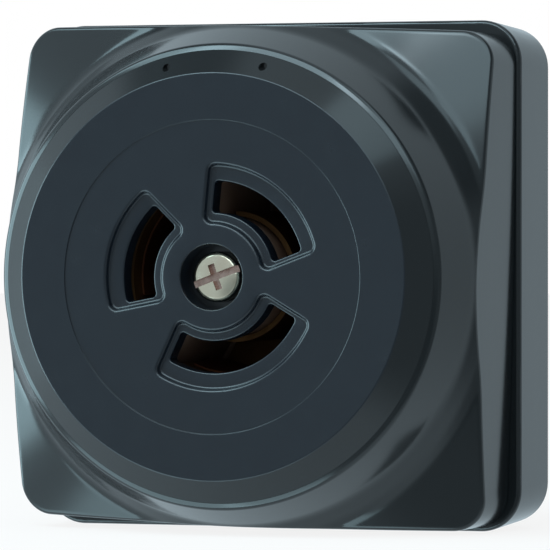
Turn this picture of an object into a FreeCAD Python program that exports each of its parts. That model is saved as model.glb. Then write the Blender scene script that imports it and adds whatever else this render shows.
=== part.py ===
import FreeCAD, Part
import math
import os
import Sketcher

# Surface mounted locking socket: a square moulded base, a twisted-on bell cover and a
# round face with three arc slots, over a contact block with brass contacts and terminals.
# Millimetres. X is to the right, the front faces -Y and Z is up. The origin is the centre
# of the face that lies on the wall, and every level is a distance forward from that face.

SIZES = {
    # Base moulding
    "base_width": 82.0,
    "base_depth": 17.0,
    "base_draft": 2.0,
    "base_corner": 6.7,
    "base_wall": 5.0,
    "base_floor": 3.0,
    "base_rim_round": 0.7,
    "cavity_corner": 3.0,
    "entry_radius": 9.5,
    "mounting_spacing": 60.0,
    "mounting_radius": 2.3,
    "mounting_pad_radius": 5.0,
    "mounting_pad_rise": 2.0,
    "pedestal_radius": 5.0,
    "pedestal_height": 12.0,
    "fixing_radius": 22.0,
    "lug_width": 12.0,
    "lug_thickness": 1.7,
    "lug_rise": 3.0,
    "lug_root": 5.0,
    "lug_gap": 0.3,
    # Bell cover
    "cover_width": 78.8,
    "cover_bulge": 0.35,
    "cover_corner": 5.3,
    "cover_twist": 1.15,
    "cover_wall": 2.5,
    "edge_round": 0.8,
    "crest_level": 46.0,
    "lip_round": 0.6,
    "shoulder_round": 1.4,
    "bell_foot_level": 36.5,
    "bell_foot_radius": 39.4,
    "bell_draft": 11.5,
    "foot_round": 3.0,
    "flare_width": 3.4,
    "flare_angle": 44.0,
    "flare_round": 20.0,
    "facet_angle": 24.0,
    "mouth_radius": 35.7,
    "ledge_level": 41.0,
    "ledge_depth": 2.5,
    # Round face
    "face_level": 48.8,
    "face_radius": 32.0,
    "face_edge_round": 0.4,
    "step_radius": 24.7,
    "step_height": 0.15,
    "cone_drop": 3.5,
    "face_gap": 0.2,
    "barrel_radius": 33.1,
    "barrel_reach": 4.0,
    "barrel_wall": 2.5,
    "barrel_gap": 0.3,
    "plate_depth": 4.5,
    "hub_radius": 7.2,
    "hub_length": 4.8,
    "screw_recess_radius": 5.2,
    "screw_recess_depth": 5.2,
    "hole_gap": 0.4,
    # Slots: angles are clockwise from the top, as seen from the front
    "right_mid": 37.5,
    "right_span": 64.0,
    "lower_mid": 162.7,
    "lower_span": 85.0,
    "left_mid": 286.5,
    "left_span": 55.0,
    "dish_inner": 8.5,
    "dish_outer": 17.7,
    "dish_margin": 2.1,
    "dish_depth": 1.0,
    "dish_corner": 1.2,
    "slot_inner": 10.1,
    "slot_outer": 15.1,
    "slot_margin": 1.2,
    "slot_corner": 0.6,
    # Contact block
    "block_radius": 29.4,
    "block_gap": 0.5,
    "hub_gap": 0.3,
    "well_inner": 9.4,
    "well_outer": 16.6,
    "well_margin": 8.0,
    "well_floor": 5.0,
    "chamber_inner": 19.0,
    "chamber_width": 12.0,
    "chamber_level": 27.0,
    "chamber_reach": 3.0,
    "notch_width": 7.6,
    "terminal_radius": 24.5,
    "terminal_hole_depth": 10.0,
    "fixing_head_level": 20.0,
    # Contacts and their springs
    "contact_margin": 4.0,
    "contact_wall": 0.8,
    "contact_gap": 0.2,
    "contact_height": 22.0,
    "contact_inner_height": 18.0,
    "tab_gap": 0.5,
    "tab_end": 28.5,
    "spring_wall": 0.3,
    "spring_gap": 0.1,
    "spring_bow": 0.9,
    "spring_height": 18.0,
    # Fasteners
    "clamp_width": 9.6,
    "clamp_length": 8.4,
    "clamp_thickness": 1.2,
    "terminal_head_radius": 3.4,
    "terminal_head_height": 2.4,
    "terminal_shank_radius": 1.9,
    "terminal_shank_length": 10.0,
    "fixing_head_radius": 3.4,
    "fixing_head_height": 2.4,
    "fixing_shank_radius": 1.7,
    "fixing_shank_length": 12.0,
    "insert_wall": 0.9,
    "insert_length": 7.8,
    "thread_gap": 0.1,
    "seat_gap": 0.05,
    "centre_head_radius": 3.5,
    "centre_head_height": 2.5,
    "centre_shank_radius": 1.9,
    "centre_shank_length": 16.0,
    "centre_insert_wall": 1.2,
    "centre_insert_length": 12.0,
    "washer_radius": 4.6,
    "washer_thickness": 0.8,
    "drive_width": 0.9,
    "drive_depth": 1.3,
    "drive_cross": 4.2,
    "head_round": 0.7,
}

POLES = ("right", "lower", "left")
NEXT_POLE = {"right": "lower", "lower": "left", "left": "right"}

# The seam of the turned bell lies on a corner, where its foot is clear of the outer sides
SEAM_TURN = "45"

# Levels that follow from the sizes, as expressions of the sheet
RIM_RADIUS = "(sheet.mouth_radius - sheet.face_gap)"
PLATE_REAR = "(sheet.face_level - sheet.plate_depth)"
HUB_LEVEL = "(sheet.face_level - sheet.plate_depth - sheet.hub_length)"
SEAT_LEVEL = "(sheet.face_level - sheet.screw_recess_depth)"
ABOVE_CREST = "(sheet.crest_level + sheet.cover_wall)"
CORE_TOP = "(sheet.ledge_level - sheet.ledge_depth)"
BARREL_LEVEL = "(sheet.ledge_level - sheet.barrel_reach)"
BLOCK_REAR = "(sheet.base_floor + sheet.pedestal_height)"
BLOCK_FRONT = "(%s - sheet.block_gap)" % PLATE_REAR
WELL_LEVEL = "(%s + sheet.well_floor)" % BLOCK_REAR
TAB_TOP = "(sheet.chamber_level + sheet.contact_wall)"
CLAMP_TOP = "(%s + sheet.clamp_thickness)" % TAB_TOP
HEAD_SEAT = "(%s + sheet.washer_thickness)" % SEAT_LEVEL
SCREW_HOLE = "(sheet.centre_shank_radius + sheet.hole_gap)"
BASE_INSERT_OUTER = "(sheet.fixing_shank_radius + sheet.thread_gap + sheet.insert_wall)"
CENTRE_INSERT_OUTER = "(sheet.centre_shank_radius + sheet.thread_gap + sheet.centre_insert_wall)"

document = FreeCAD.newDocument("locking_socket")
sheet = document.addObject("Spreadsheet::Sheet", "sheet")
sub_parts = []


def fill_sheet():
    """Write each size and its name to the sheet, as a plain number with an alias"""
    for row, (name, value) in enumerate(SIZES.items(), 1):
        sheet.set("A%d" % row, name)
        sheet.set("B%d" % row, str(value))
        sheet.setAlias("B%d" % row, name)
    document.recompute()


def new_body(name, is_part=True):
    """Start a body; one that is a sub-part is written to the file of its name"""
    body = document.addObject("PartDesign::Body", name)
    body.Label = name
    if is_part:
        sub_parts.append(body)
    return body


def new_sketch(body, role, level="0", turn="0"):
    """Sketch on an origin plane: XZ_Plane looks at the front, YZ_Plane holds sections

    A front sketch lies at a level and is turned clockwise about the centre axis.
    A section is turned clockwise about the centre axis.
    """
    sketch = body.newObject("Sketcher::SketchObject", body.Name + "_sketch")
    plane = [item for item in body.Origin.OriginFeatures if item.Role == role][0]
    sketch.AttachmentSupport = [(plane, "")]
    sketch.MapMode = "FlatFace"
    if role == "XZ_Plane":
        offset = "placement(vector(0; 0; %s); rotation(vector(0; 0; 1); -(%s)))" % (level, turn)
    else:
        offset = "placement(vector(0; 0; 0); rotation(vector(1; 0; 0); %s))" % turn
    sketch.setExpression("AttachmentOffset", offset)
    return sketch


def bind(sketch, expression, *constraint):
    """Add a driving constraint and tie it to an expression of the sheet"""
    index = sketch.addConstraint(Sketcher.Constraint(*constraint))
    sketch.setExpression("Constraints[%d]" % index, expression)


def draw_outline(sketch, points):
    """Draw a closed outline of straight lines through points given as expressions"""
    count = len(points)
    first = sketch.GeometryCount
    corners = [2 * math.pi * index / count for index in range(count)]
    for index in range(count):
        ends = [corners[index], corners[(index + 1) % count]]
        start, end = [FreeCAD.Vector(math.cos(angle), math.sin(angle), 0) for angle in ends]
        sketch.addGeometry(Part.LineSegment(start, end))
    for index in range(count):
        following = first + (index + 1) % count
        sketch.addConstraint(Sketcher.Constraint("Coincident", first + index, 2, following, 1))
    for index, (across, up) in enumerate(points):
        bind(sketch, across, "DistanceX", -1, 1, first + index, 1, 1.0)
        bind(sketch, up, "DistanceY", -1, 1, first + index, 1, 1.0)
    document.recompute()


def draw_section(sketch, points, rounds=()):
    """Draw a turned section from (level, radius) pairs, with some corners rounded"""
    draw_outline(sketch, [("-(%s)" % level, radius) for level, radius in points])
    for corner, radius in rounds:
        sketch.fillet(corner, 1, sheet.get(radius), True, True)
        bind(sketch, "sheet.%s" % radius, "Radius", sketch.GeometryCount - 2, sheet.get(radius))
        document.recompute()


def draw_circles(sketch, circles):
    """Draw circles from (across, up, radius) expressions"""
    for across, up, radius in circles:
        circle = sketch.addGeometry(Part.Circle(FreeCAD.Vector(1, 1, 0), FreeCAD.Vector(0, 0, 1), 1))
        bind(sketch, across, "DistanceX", -1, 1, circle, 3, 1.0)
        bind(sketch, up, "DistanceY", -1, 1, circle, 3, 1.0)
        bind(sketch, radius, "Radius", circle, 1.0)
    document.recompute()


def draw_rectangle(sketch, left, right, bottom, top):
    """Draw a rectangle between four expressions"""
    draw_outline(sketch, [(left, bottom), (right, bottom), (right, top), (left, top)])


def draw_square(sketch, half):
    """Draw a square about the centre axis"""
    draw_rectangle(sketch, "-(%s)" % half, half, "-(%s)" % half, half)


def draw_bulged_square(sketch, inset_name=None):
    """Draw the outline of the cover: four sides that bulge a little, as large arcs, and corners

    The named inset moves the whole outline inward, for the hollow inside the cover.
    """
    inset = sheet.get(inset_name) if inset_name else 0
    take_inset = " - sheet.%s" % inset_name if inset_name else ""
    half = sheet.cover_width / 2 - inset
    corner = sheet.cover_corner - inset
    bow = (half ** 2 + sheet.cover_bulge ** 2) / (2 * sheet.cover_bulge)
    back = bow - half
    spread = bow - corner
    centre = (math.sqrt(2 * spread ** 2 - back ** 2) - back) / 2
    lean = math.atan2(centre, centre + back)
    up = FreeCAD.Vector(0, 0, 1)
    for side in range(4):
        middle = side * math.pi / 2
        side_centre = FreeCAD.Vector(-back * math.cos(middle), -back * math.sin(middle), 0)
        sketch.addGeometry(Part.ArcOfCircle(Part.Circle(side_centre, up, bow),
                                            middle - lean, middle + lean))
    for side in range(4):
        middle = side * math.pi / 2
        diagonal = middle + math.pi / 4
        place = FreeCAD.Vector(math.cos(diagonal), math.sin(diagonal), 0) * centre * math.sqrt(2)
        sketch.addGeometry(Part.ArcOfCircle(Part.Circle(place, up, corner),
                                            middle + lean, middle + math.pi / 2 - lean))
    half_text = "(sheet.cover_width / 2%s)" % take_inset
    bow_text = "((%s ^ 2 + sheet.cover_bulge ^ 2) / (2 * sheet.cover_bulge))" % half_text
    for side in range(4):
        sketch.addConstraint(Sketcher.Constraint("Tangent", side, 2, side + 4, 1))
        sketch.addConstraint(Sketcher.Constraint("Tangent", side + 4, 2, (side + 1) % 4, 1))
    for side in range(4):
        along, over = ("DistanceX", "DistanceY") if side % 2 == 0 else ("DistanceY", "DistanceX")
        sign = 1 if side < 2 else -1
        bind(sketch, "%d * (%s - %s)" % (sign, half_text, bow_text),
             along, -1, 1, side, 3, -sign * back)
        bind(sketch, "0", over, -1, 1, side, 3, 0.0)
        bind(sketch, bow_text, "Radius", side, bow)
        bind(sketch, "sheet.cover_corner" + take_inset, "Radius", side + 4, corner)
    document.recompute()


def draw_arc_slot(sketch, span, inner, outer, margin):
    """Draw an arc slot about the up axis, its ends set out from the radii by a margin"""
    half = math.radians(sheet.get(span) / 2)
    distance = sheet.get(margin)
    radii = (sheet.get(outer), sheet.get(inner))
    spreads = [half + math.asin(distance / radius) for radius in radii]
    corners = {}
    for radius, spread, place in zip(radii, spreads, ("outer", "inner")):
        for side in (-1, 1):
            across = side * radius * math.sin(spread)
            corners[place, side] = FreeCAD.Vector(across, radius * math.cos(spread), 0)
        circle = Part.Circle(FreeCAD.Vector(0, 0, 0), FreeCAD.Vector(0, 0, 1), radius)
        sketch.addGeometry(Part.ArcOfCircle(circle, math.pi / 2 - spread, math.pi / 2 + spread))
    sketch.addGeometry(Part.LineSegment(corners["outer", -1], corners["inner", -1]))
    sketch.addGeometry(Part.LineSegment(corners["inner", 1], corners["outer", 1]))
    joints = ((0, 2, 2, 1), (2, 2, 1, 2), (1, 1, 3, 1), (3, 2, 0, 1), (0, 3, -1, 1), (1, 3, -1, 1))
    for joint in joints:
        sketch.addConstraint(Sketcher.Constraint("Coincident", *joint))
    bind(sketch, "sheet.%s" % outer, "Radius", 0, radii[0])
    bind(sketch, "sheet.%s" % inner, "Radius", 1, radii[1])
    for line in (2, 3):
        bind(sketch, "sheet.%s" % margin, "Distance", -1, 1, line, distance)
    bind(sketch, "90 - sheet.%s / 2" % span, "Angle", 3, math.pi / 2 - half)
    bind(sketch, "sheet.%s / 2 - 90" % span, "Angle", 2, half - math.pi / 2)
    document.recompute()


def pad(body, sketch, length, taper="0"):
    """Add material forward from a front sketch"""
    feature = body.newObject("PartDesign::Pad", body.Name + "_pad")
    feature.Profile = sketch
    feature.setExpression("Length", length)
    feature.setExpression("TaperAngle", taper)
    document.recompute()
    return feature


def pocket(body, sketch, length):
    """Cut backward from a front sketch, and confirm that it removes material"""
    before = body.Shape.Volume
    feature = body.newObject("PartDesign::Pocket", body.Name + "_pocket")
    feature.Profile = sketch
    feature.setExpression("Length", length)
    document.recompute()
    confirm_cut(body, before)
    return feature


def turn(body, sketch, angle="360"):
    """Turn a section about the centre axis, evenly to both sides of it"""
    feature = body.newObject("PartDesign::Revolution", body.Name + "_turn")
    feature.Profile = sketch
    feature.ReferenceAxis = (sketch, ["H_Axis"])
    feature.Midplane = True
    feature.setExpression("Angle", angle)
    document.recompute()
    return feature


def groove(body, sketch, angle="360"):
    """Cut a turned section about the centre axis, and confirm that it removes material"""
    before = body.Shape.Volume
    feature = body.newObject("PartDesign::Groove", body.Name + "_groove")
    feature.Profile = sketch
    feature.ReferenceAxis = (sketch, ["H_Axis"])
    feature.Midplane = True
    feature.setExpression("Angle", angle)
    document.recompute()
    confirm_cut(body, before)
    return feature


def confirm(feature):
    """Stop if a feature failed"""
    if "Invalid" in feature.State or "Error" in feature.State:
        raise RuntimeError("%s failed" % feature.Name)


def confirm_cut(body, before):
    """Stop if a cut pointed away from the solid and removed nothing"""
    if not body.Shape.Volume < before - 0.01:
        raise RuntimeError("a cut in %s removes nothing" % body.Name)


def round_edges(body, radius, chosen):
    """Round those edges of the body that the test chooses"""
    base = body.Tip
    edges = base.Shape.Edges
    names = ["Edge%d" % number for number, edge in enumerate(edges, 1) if chosen(edge)]
    feature = body.newObject("PartDesign::Fillet", body.Name + "_round")
    feature.Base = (base, names)
    feature.setExpression("Radius", radius)
    document.recompute()
    confirm(feature)
    return feature


def runs_forward(edge):
    """True for an edge that runs straight forward, at most a draft angle off"""
    return edge.BoundBox.YLength > 0.99 * edge.Length


def middle_level(edge):
    """Level of the middle of an edge"""
    return -edge.CenterOfMass.y


def lies_on_side(point):
    """True for a point on the outer side of the cover, clear of its rear edge"""
    half = sheet.cover_width / 2
    inner = half - sheet.cover_corner
    beyond = FreeCAD.Vector(max(abs(point.x) - inner, 0), 0, max(abs(point.z) - inner, 0))
    return beyond.Length > sheet.cover_corner - sheet.cover_bulge - 0.01 and -point.y > sheet.base_depth + 1


def is_front_edge(edge):
    """True for an edge along which the bell of the cover meets its outer side"""
    middle = edge.valueAt((edge.FirstParameter + edge.LastParameter) / 2)
    return lies_on_side(middle) and not runs_forward(edge)


def place_on_circle(body, radius, angle):
    """Move a body from the centre axis out to a radius, clockwise from the top"""
    centre = "vector((%s) * sin(%s); 0; (%s) * cos(%s))" % (radius, angle, radius, angle)
    turned = "rotation(vector(0; 1; 0); %s)" % angle
    body.setExpression("Placement", "placement(%s; %s)" % (centre, turned))


def turn_about_axis(body, angle):
    """Turn a body clockwise about the centre axis"""
    turned = "rotation(vector(0; 1; 0); %s)" % angle
    body.setExpression("Placement", "placement(vector(0; 0; 0); %s)" % turned)


def fixing_angle(pole):
    """Middle of the rib after a pole, where a fixing screw holds the contact block"""
    following = NEXT_POLE[pole]
    whole_turn = 360 if sheet.get(following + "_mid") < sheet.get(pole + "_mid") else 0
    end = "sheet.%s_mid + sheet.%s_span / 2" % (pole, pole)
    start = "sheet.%s_mid - sheet.%s_span / 2 + %d" % (following, following, whole_turn)
    return "((%s + %s) / 2)" % (end, start)


def fixing_circles(radius):
    """One circle of the given radius at each fixing screw"""
    angles = [fixing_angle(pole) for pole in POLES]
    across = ["sheet.fixing_radius * sin(%s)" % angle for angle in angles]
    up = ["sheet.fixing_radius * cos(%s)" % angle for angle in angles]
    return [(x, y, radius) for x, y in zip(across, up)]


def make_base():
    """Square base moulding: drafted walls, pedestals, cable entry, mounting holes and lugs"""
    body = new_body("base_body")
    rear_half = "(sheet.base_width / 2 - sheet.base_depth * tan(sheet.base_draft))"
    outline = new_sketch(body, "XZ_Plane")
    draw_square(outline, rear_half)
    pad(body, outline, "sheet.base_depth", "sheet.base_draft")
    round_edges(body, "sheet.base_corner", runs_forward)
    front = sheet.base_depth
    round_edges(body, "sheet.base_rim_round", lambda edge: middle_level(edge) > front - 0.01)

    cavity = new_sketch(body, "XZ_Plane", "sheet.base_depth")
    draw_square(cavity, "(sheet.base_width / 2 - sheet.base_wall)")
    pocket(body, cavity, "sheet.base_depth - sheet.base_floor")
    inner_half = sheet.base_width / 2 - sheet.base_wall

    def is_cavity_corner(edge):
        return runs_forward(edge) and abs(abs(edge.CenterOfMass.x) - inner_half) < 0.01

    round_edges(body, "sheet.cavity_corner", is_cavity_corner)

    pedestals = new_sketch(body, "XZ_Plane", "sheet.base_floor")
    draw_circles(pedestals, fixing_circles("sheet.pedestal_radius"))
    pad(body, pedestals, "sheet.pedestal_height")
    sockets = new_sketch(body, "XZ_Plane", BLOCK_REAR)
    draw_circles(sockets, fixing_circles("%s + sheet.seat_gap" % BASE_INSERT_OUTER))
    pocket(body, sockets, "sheet.insert_length + sheet.seat_gap")

    reach = "sheet.mounting_spacing / 2"
    pads = new_sketch(body, "XZ_Plane", "sheet.base_floor")
    draw_circles(pads, [("0", reach, "sheet.mounting_pad_radius"),
                        ("0", "-" + reach, "sheet.mounting_pad_radius")])
    pad(body, pads, "sheet.mounting_pad_rise")
    holes = new_sketch(body, "XZ_Plane", "sheet.base_floor + sheet.mounting_pad_rise")
    draw_circles(holes, [("0", reach, "sheet.mounting_radius"),
                         ("0", "-" + reach, "sheet.mounting_radius")])
    pocket(body, holes, "sheet.base_floor + sheet.mounting_pad_rise")
    entry = new_sketch(body, "XZ_Plane", "sheet.base_floor")
    draw_circles(entry, [("0", "0", "sheet.entry_radius")])
    pocket(body, entry, "sheet.base_floor")

    lug = new_sketch(body, "XZ_Plane", "sheet.base_depth - sheet.lug_root")
    lug_face = "(sheet.cover_width / 2 - sheet.cover_wall - sheet.lug_gap)"
    lug_half = "(sheet.lug_width / 2)"
    draw_rectangle(lug, "-" + lug_half, lug_half, "%s - sheet.lug_thickness" % lug_face, lug_face)
    lug_pad = pad(body, lug, "sheet.lug_root + sheet.lug_rise")
    lugs = body.newObject("PartDesign::PolarPattern", "base_lugs")
    lugs.Originals = [lug_pad]
    lugs.Axis = (lug, ["N_Axis"])
    lugs.Angle = 360
    lugs.Occurrences = 4
    body.Tip = lugs
    document.recompute()


def outer_bell_points(foot, flare, top_level):
    """Section points down the outside of a bell: top of the flank, foot, flare and facet end"""
    foot_level, foot_radius = foot
    flare_level, flare_radius = flare
    top_radius = "(%s - (%s - %s) * tan(sheet.bell_draft))" % (foot_radius, top_level, foot_level)
    fall = "((sheet.cover_width - %s) * tan(sheet.facet_angle))" % flare_radius
    end = ("%s - %s" % (flare_level, fall), "sheet.cover_width")
    return [(top_level, top_radius), foot, flare, end, (ABOVE_CREST, "sheet.cover_width")]


def make_cover():
    """Bell cover: a square skirt whose front sweeps up from the corners to a round bell"""
    skirt_length = "(sheet.crest_level - sheet.base_depth)"
    foot = ("sheet.bell_foot_level", "sheet.bell_foot_radius")
    flare_level = "(sheet.bell_foot_level - sheet.flare_width * tan(sheet.flare_angle))"
    flare = (flare_level, "(sheet.bell_foot_radius + sheet.flare_width)")

    core = new_body("cover_core", is_part=False)
    core_outline = new_sketch(core, "XZ_Plane", "sheet.base_depth - sheet.cover_wall")
    draw_bulged_square(core_outline, "cover_wall")
    pad(core, core_outline, "%s + sheet.cover_wall" % skirt_length)
    core_section = new_sketch(core, "YZ_Plane")
    core_foot = ("(sheet.bell_foot_level - sheet.cover_wall / 2)",
                 "(sheet.bell_foot_radius - sheet.cover_wall)")
    core_flare = ("(%s - sheet.cover_wall)" % flare_level,
                  "(sheet.bell_foot_radius + sheet.flare_width - sheet.cover_wall / 2)")
    draw_section(core_section, [(ABOVE_CREST, "0"), (CORE_TOP, "0")]
                 + outer_bell_points(core_foot, core_flare, CORE_TOP))
    groove(core, core_section)

    body = new_body("cover_shell")
    outline = new_sketch(body, "XZ_Plane", "sheet.base_depth")
    draw_bulged_square(outline)
    pad(body, outline, skirt_length)
    section = new_sketch(body, "YZ_Plane", turn=SEAM_TURN)
    ledge_radius = "(sheet.barrel_radius + sheet.barrel_gap)"
    below_ledge = "(%s - sheet.cover_wall)" % CORE_TOP
    rounds = ((5, "lip_round"), (6, "shoulder_round"), (7, "foot_round"), (8, "flare_round"))
    draw_section(section, [(ABOVE_CREST, "0"), (below_ledge, "0"), (below_ledge, ledge_radius),
                           ("sheet.ledge_level", ledge_radius),
                           ("sheet.ledge_level", "sheet.mouth_radius"),
                           ("sheet.crest_level", "sheet.mouth_radius")]
                 + outer_bell_points(foot, flare, "sheet.crest_level"), rounds)
    groove(body, section)
    round_edges(body, "sheet.edge_round", is_front_edge)
    hollow = body.newObject("PartDesign::Boolean", "cover_hollow")
    hollow.Type = "Cut"
    hollow.setObjects([core])
    document.recompute()
    turn_about_axis(body, "sheet.cover_twist")


def make_face():
    """Round face: stepped disc with a coned edge, barrel and hub, and three arc slots"""
    body = new_body("socket_face")
    section = new_sketch(body, "YZ_Plane")
    ring_level = "(sheet.face_level - sheet.step_height)"
    barrel_inner = "(sheet.barrel_radius - sheet.barrel_wall)"
    draw_section(section, [
        ("sheet.face_level", "sheet.screw_recess_radius"),
        ("sheet.face_level", "sheet.step_radius"),
        (ring_level, "sheet.step_radius"),
        (ring_level, "sheet.face_radius"),
        ("sheet.face_level - sheet.cone_drop", RIM_RADIUS),
        ("sheet.ledge_level", RIM_RADIUS),
        ("sheet.ledge_level", "sheet.barrel_radius"),
        (BARREL_LEVEL, "sheet.barrel_radius"),
        (BARREL_LEVEL, barrel_inner),
        (PLATE_REAR, barrel_inner),
        (PLATE_REAR, "sheet.hub_radius"),
        (HUB_LEVEL, "sheet.hub_radius"),
        (HUB_LEVEL, SCREW_HOLE),
        (SEAT_LEVEL, SCREW_HOLE),
        (SEAT_LEVEL, "sheet.screw_recess_radius"),
    ], ((3, "face_edge_round"),))
    turn(body, section)
    for pole in POLES:
        dish = new_sketch(body, "XZ_Plane", "sheet.face_level", "sheet.%s_mid" % pole)
        draw_arc_slot(dish, pole + "_span", "dish_inner", "dish_outer", "dish_margin")
        pocket(body, dish, "sheet.dish_depth")
    dish_middle = sheet.face_level - sheet.dish_depth / 2

    def is_dish_corner(edge):
        return runs_forward(edge) and abs(middle_level(edge) - dish_middle) < 0.01

    round_edges(body, "sheet.dish_corner", is_dish_corner)
    for pole in POLES:
        slot = new_sketch(body, "XZ_Plane", "sheet.face_level", "sheet.%s_mid" % pole)
        draw_arc_slot(slot, pole + "_span", "slot_inner", "slot_outer", "slot_margin")
        pocket(body, slot, "sheet.plate_depth + sheet.block_gap")
    slot_middle = sheet.face_level - (sheet.dish_depth + sheet.plate_depth) / 2

    def is_slot_corner(edge):
        return runs_forward(edge) and abs(middle_level(edge) - slot_middle) < 0.01

    round_edges(body, "sheet.slot_corner", is_slot_corner)


def make_contact_block():
    """Round contact block: three arc wells, terminal chambers and screw holes"""
    body = new_body("contact_block")
    outline = new_sketch(body, "XZ_Plane", BLOCK_REAR)
    draw_circles(outline, [("0", "0", "sheet.block_radius")])
    pad(body, outline, "%s - %s" % (BLOCK_FRONT, BLOCK_REAR))

    recess = new_sketch(body, "XZ_Plane", BLOCK_FRONT)
    draw_circles(recess, [("0", "0", "sheet.hub_radius + sheet.hole_gap")])
    recess_level = "(%s - sheet.hub_gap)" % HUB_LEVEL
    pocket(body, recess, "%s - %s" % (BLOCK_FRONT, recess_level))
    bore = new_sketch(body, "XZ_Plane", recess_level)
    draw_circles(bore, [("0", "0", "%s + sheet.seat_gap" % CENTRE_INSERT_OUTER)])
    pocket(body, bore, "sheet.centre_insert_length + sheet.seat_gap")

    for pole in POLES:
        well = new_sketch(body, "YZ_Plane", turn="sheet.%s_mid" % pole)
        draw_section(well, [(WELL_LEVEL, "sheet.well_inner"),
                            (WELL_LEVEL, "sheet.well_outer"),
                            ("%s + 1" % BLOCK_FRONT, "sheet.well_outer"),
                            ("%s + 1" % BLOCK_FRONT, "sheet.well_inner")])
        groove(body, well, "sheet.%s_span + 2 * sheet.well_margin" % pole)
        chamber = new_sketch(body, "XZ_Plane", BLOCK_FRONT, "sheet.%s_mid" % pole)
        half = "(sheet.chamber_width / 2)"
        notch = "(sheet.notch_width / 2)"
        throat = "(sheet.well_outer - sheet.contact_wall)"
        outside = "(sheet.block_radius + sheet.chamber_reach)"
        draw_outline(chamber, [("-" + notch, throat), (notch, throat),
                               (notch, "sheet.chamber_inner"), (half, "sheet.chamber_inner"),
                               (half, outside), ("-" + half, outside),
                               ("-" + half, "sheet.chamber_inner"),
                               ("-" + notch, "sheet.chamber_inner")])
        pocket(body, chamber, "%s - sheet.chamber_level" % BLOCK_FRONT)
        hole = new_sketch(body, "XZ_Plane", "sheet.chamber_level", "sheet.%s_mid" % pole)
        draw_circles(hole, [("0", "sheet.terminal_radius",
                             "sheet.terminal_shank_radius + sheet.hole_gap")])
        pocket(body, hole, "sheet.terminal_hole_depth")

    sinks = new_sketch(body, "XZ_Plane", BLOCK_FRONT)
    draw_circles(sinks, fixing_circles("sheet.fixing_head_radius + sheet.hole_gap"))
    pocket(body, sinks, "%s - sheet.fixing_head_level" % BLOCK_FRONT)
    holes = new_sketch(body, "XZ_Plane", "sheet.fixing_head_level")
    draw_circles(holes, fixing_circles("sheet.fixing_shank_radius + sheet.hole_gap"))
    pocket(body, holes, "sheet.fixing_head_level - %s" % BLOCK_REAR)


def make_contact(pole):
    """Brass contact: a folded arc channel with a terminal tab from its outer leg"""
    body = new_body("contact_" + pole)
    outer = "(sheet.well_outer - sheet.contact_gap)"
    inner = "(sheet.well_inner + sheet.contact_gap)"
    outer_top = "(%s + sheet.contact_height)" % WELL_LEVEL
    inner_top = "(%s + sheet.contact_inner_height)" % WELL_LEVEL
    channel = "(%s + sheet.contact_wall)" % WELL_LEVEL
    section = new_sketch(body, "YZ_Plane")
    draw_section(section, [(outer_top, outer), (WELL_LEVEL, outer), (WELL_LEVEL, inner),
                           (inner_top, inner), (inner_top, inner + " + sheet.contact_wall"),
                           (channel, inner + " + sheet.contact_wall"),
                           (channel, outer + " - sheet.contact_wall"),
                           (outer_top, outer + " - sheet.contact_wall")])
    turn(body, section, "sheet.%s_span + 2 * sheet.contact_margin" % pole)
    tab = new_sketch(body, "XZ_Plane", "sheet.chamber_level")
    half = "(sheet.notch_width / 2 - sheet.tab_gap)"
    draw_rectangle(tab, "-" + half, half, outer + " - sheet.contact_wall / 2", "sheet.tab_end")
    pad(body, tab, "sheet.contact_wall")
    hole = new_sketch(body, "XZ_Plane", TAB_TOP)
    draw_circles(hole, [("0", "sheet.terminal_radius",
                         "sheet.terminal_shank_radius + sheet.thread_gap")])
    pocket(body, hole, "sheet.contact_wall")
    turn_about_axis(body, "sheet.%s_mid" % pole)


def make_contact_spring(pole):
    """Bowed leaf that presses a plug blade across the channel of its contact"""
    body = new_body("contact_spring_" + pole)
    seat = "(sheet.well_outer - sheet.contact_gap - sheet.contact_wall - sheet.spring_gap)"
    foot = "(%s + sheet.contact_wall)" % WELL_LEVEL
    bow_level = "(%s + sheet.spring_height / 2)" % foot
    top = "(%s + sheet.spring_height)" % foot
    section = new_sketch(body, "YZ_Plane")
    wall = " - sheet.spring_wall"
    draw_section(section, [(foot, seat), (foot, seat + wall),
                           (bow_level, seat + wall + " - sheet.spring_bow"),
                           (top, seat + wall), (top, seat),
                           (bow_level, seat + " - sheet.spring_bow")])
    turn(body, section, "sheet.%s_span" % pole)
    turn_about_axis(body, "sheet.%s_mid" % pole)


def make_clamp_plate(pole):
    """Square plate that holds a wire on the terminal tab"""
    body = new_body("clamp_plate_" + pole)
    outline = new_sketch(body, "XZ_Plane", TAB_TOP)
    half_width = "(sheet.clamp_width / 2)"
    half_length = "(sheet.clamp_length / 2)"
    draw_rectangle(outline, "-" + half_width, half_width, "-" + half_length, half_length)
    draw_circles(outline, [("0", "0", "sheet.terminal_shank_radius + sheet.thread_gap")])
    pad(body, outline, "sheet.clamp_thickness")
    place_on_circle(body, "sheet.terminal_radius", "sheet.%s_mid" % pole)


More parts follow.
